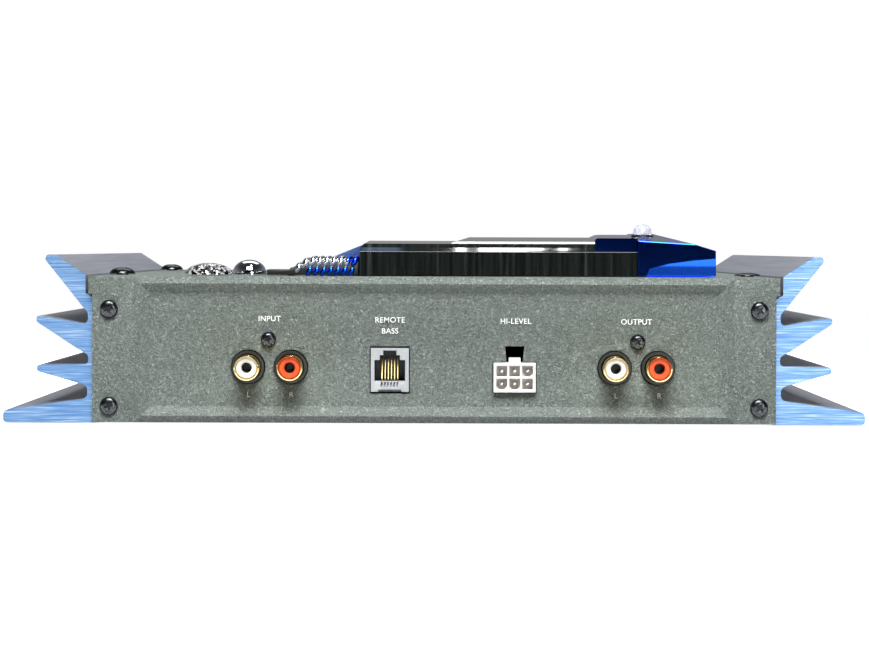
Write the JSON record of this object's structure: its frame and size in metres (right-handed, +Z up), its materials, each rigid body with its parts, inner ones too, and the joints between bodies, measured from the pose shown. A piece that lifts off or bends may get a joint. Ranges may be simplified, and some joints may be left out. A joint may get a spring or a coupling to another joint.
{
  "type": "car amplifier",
  "caption": "Low, wide car audio amplifier with wedge-shaped heatsink fins, framed end panels with signal sockets, and mirror trim on its cover.",
  "frame": {"origin": "middle of the footprint, on the surface the amplifier lies on", "axes": "+X across the amplifier, -Y towards the panel with the signal sockets, +Z up"},
  "size_m": [0.282, 0.325, 0.0658],
  "materials": {
    "finned_aluminium": "brushed cut ends, satin fin faces",
    "hammertone_paint": "grey-green hammertone",
    "zinc_steel": "zinc plated",
    "black_screw_steel": "black oxide",
    "black_nylon": "moulded",
    "gold_plate": "gold plated",
    "white_nylon": "moulded",
    "red_nylon": "moulded",
    "grey_nylon": "moulded",
    "tin_plate": "tin plated",
    "blue_mirror_plating": "blue mirror plating on plastic",
    "chrome_plating": "chrome plating on plastic",
    "crystal": "clear faceted acrylic",
    "fuse_green": "translucent tinted plastic",
    "circuit_board": "green solder mask",
    "enamelled_copper": "enamelled copper winding on a ferrite ring",
    "capacitor_sleeve": "shrink sleeve"
  },
  "bodies": {
    "chassis": {"left_heatsink": "finned_aluminium", "right_heatsink": "finned_aluminium", "top_cover": "hammertone_paint", "front_panel": "hammertone_paint", "rear_panel": "hammertone_paint", "bottom_plate": "zinc_steel", "transistor_clamp_left": "zinc_steel", "transistor_clamp_right": "zinc_steel", "panel_screw_top_left": "black_screw_steel", "panel_screw_top_right": "black_screw_steel", "panel_screw_bottom_left": "black_screw_steel", "panel_screw_bottom_right": "black_screw_steel", "input_jack_screw": "black_screw_steel", "output_jack_screw": "black_screw_steel", "cover_screw_front_left": "black_screw_steel", "cover_screw_front_right": "black_screw_steel", "cover_screw_rear_left": "black_screw_steel", "cover_screw_rear_right": "black_screw_steel", "input_jack_housing": "black_nylon", "output_jack_housing": "black_nylon", "power_terminal_block": "black_nylon", "speaker_terminal_block": "black_nylon", "fuse_holder": "black_nylon", "control_pots": "black_nylon", "input_jack_left_shell": "gold_plate", "input_jack_right_shell": "gold_plate", "output_jack_left_shell": "gold_plate", "output_jack_right_shell": "gold_plate", "bass_socket_contacts": "gold_plate", "input_jack_left_insulator": "white_nylon", "output_jack_left_insulator": "white_nylon", "hi_level_header": "white_nylon", "input_jack_right_insulator": "red_nylon", "output_jack_right_insulator": "red_nylon", "bass_socket_shell": "grey_nylon", "hi_level_pins": "tin_plate", "trim_bar": "blue_mirror_plating", "trim_end_cap": "blue_mirror_plating", "bead_pad": "blue_mirror_plating", "chrome_dome": "chrome_plating", "mesh_dome": "chrome_plating", "indicator_lens": "crystal", "control_board": "circuit_board", "main_board": "circuit_board", "toroid_transformer": "enamelled_copper", "capacitor_1": "capacitor_sleeve", "capacitor_2": "capacitor_sleeve", "capacitor_3": "capacitor_sleeve", "capacitor_4": "capacitor_sleeve"},
    "gain_knob": {"gain_knob": "grey_nylon"},
    "low_pass_knob": {"low_pass_knob": "grey_nylon"},
    "bass_knob": {"bass_knob": "grey_nylon"},
    "crossover_switch": {"crossover_switch": "grey_nylon"},
    "blade_fuse_1": {"blade_fuse_1": "fuse_green"},
    "blade_fuse_2": {"blade_fuse_2": "fuse_green"},
    "power_clamp_screw_1": {"power_clamp_screw_1": "zinc_steel"},
    "power_clamp_screw_2": {"power_clamp_screw_2": "zinc_steel"},
    "power_clamp_screw_3": {"power_clamp_screw_3": "zinc_steel"},
    "speaker_clamp_screw_1": {"speaker_clamp_screw_1": "zinc_steel"},
    "speaker_clamp_screw_2": {"speaker_clamp_screw_2": "zinc_steel"}
  },
  "joints": [
    {"name": "gain_knob_turn", "type": "hinge", "parent": "chassis", "child": "gain_knob", "pos_m": [-0.077, 0.1498, 0.0275], "axis": [0, 1, 0], "range_deg": [-140, 140]},
    {"name": "low_pass_knob_turn", "type": "hinge", "parent": "chassis", "child": "low_pass_knob", "pos_m": [-0.062, 0.1498, 0.0275], "axis": [0, 1, 0], "range_deg": [-140, 140]},
    {"name": "bass_knob_turn", "type": "hinge", "parent": "chassis", "child": "bass_knob", "pos_m": [-0.047, 0.1498, 0.0275], "axis": [0, 1, 0], "range_deg": [-140, 140]},
    {"name": "crossover_switch_slide", "type": "slide", "parent": "chassis", "child": "crossover_switch", "axis": [1, 0, 0], "range_m": [0, 0.005]},
    {"name": "power_clamp_screw_1_turn", "type": "hinge", "parent": "chassis", "child": "power_clamp_screw_1", "pos_m": [0.0465, 0.157, 0.0211], "axis": [0, 0, -1], "range_deg": [0, 1440]},
    {"name": "power_clamp_screw_2_turn", "type": "hinge", "parent": "chassis", "child": "power_clamp_screw_2", "pos_m": [0.061, 0.157, 0.0211], "axis": [0, 0, -1], "range_deg": [0, 1440]},
    {"name": "power_clamp_screw_3_turn", "type": "hinge", "parent": "chassis", "child": "power_clamp_screw_3", "pos_m": [0.0755, 0.157, 0.0211], "axis": [0, 0, -1], "range_deg": [0, 1440]},
    {"name": "speaker_clamp_screw_1_turn", "type": "hinge", "parent": "chassis", "child": "speaker_clamp_screw_1", "pos_m": [-0.012, 0.157, 0.0211], "axis": [0, 0, -1], "range_deg": [0, 1440]},
    {"name": "speaker_clamp_screw_2_turn", "type": "hinge", "parent": "chassis", "child": "speaker_clamp_screw_2", "pos_m": [-0.0265, 0.157, 0.0211], "axis": [0, 0, -1], "range_deg": [0, 1440]},
    {"name": "blade_fuse_1_pull", "type": "slide", "parent": "chassis", "child": "blade_fuse_1", "axis": [0, 1, 0], "range_m": [0, 0.012]},
    {"name": "blade_fuse_2_pull", "type": "slide", "parent": "chassis", "child": "blade_fuse_2", "axis": [0, 1, 0], "range_m": [0, 0.012]}
  ]
}
